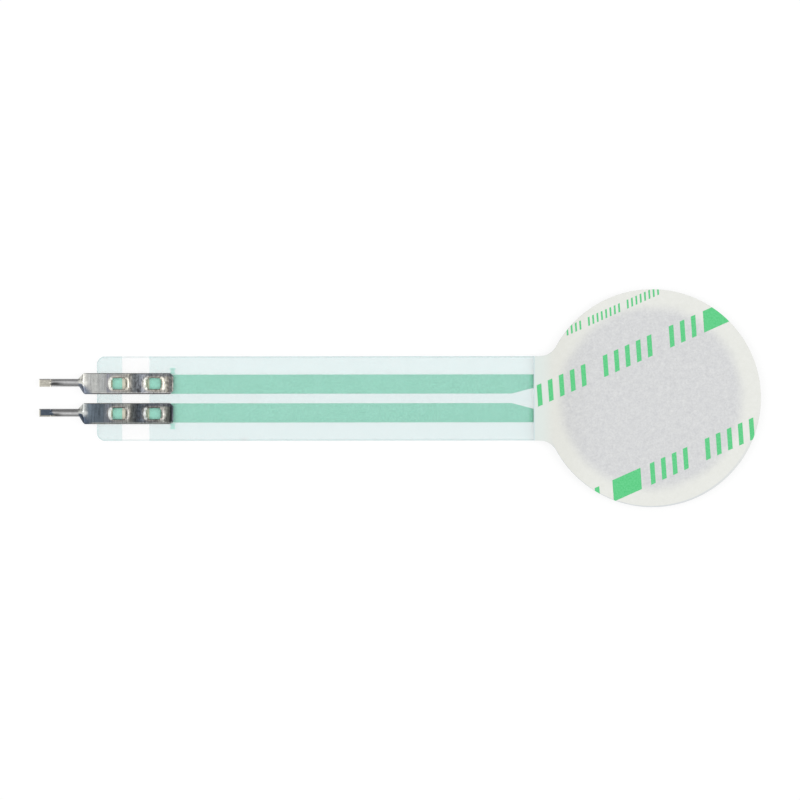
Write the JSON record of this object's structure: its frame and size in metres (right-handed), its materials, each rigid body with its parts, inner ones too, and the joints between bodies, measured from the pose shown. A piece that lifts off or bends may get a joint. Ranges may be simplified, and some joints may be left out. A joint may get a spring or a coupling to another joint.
{
  "type": "thin-film force sensor",
  "caption": "Flat film force sensor with a round sensing head, a long narrow tail with printed conductors and crimped solder pins at its end.",
  "frame": {"origin": "centre of the round head on the sensing face, the underside of the front film", "axes": "+X from the tail towards the head, +Z through the laminate towards the paper liner"},
  "size_m": [0.0611, 0.0184, 0.0007],
  "materials": {
    "front_film": "clear polyester film",
    "rear_film": "clear polyester film",
    "silver_ink": "matt printed silver",
    "green_coat": "printed insulating coat",
    "spacer_adhesive": "pale teal adhesive film",
    "carbon_ink": "printed carbon",
    "mounting_adhesive": "clear transfer adhesive",
    "liner_paper": "smooth white release paper",
    "green_ink": "green ink on paper",
    "upper_tin": "bright tin plating",
    "lower_tin": "bright tin plating"
  },
  "bodies": {
    "root": {"front_film": "front_film", "upper_trace": "silver_ink", "lower_trace": "silver_ink", "upper_coat": "green_coat", "lower_coat": "green_coat", "spacer_adhesive": "spacer_adhesive", "carbon_pad": "carbon_ink", "rear_film": "rear_film", "mounting_adhesive": "mounting_adhesive", "release_liner": "liner_paper", "liner_print": "green_ink", "upper_terminal": "upper_tin", "lower_terminal": "lower_tin"}
  },
  "joints": []
}
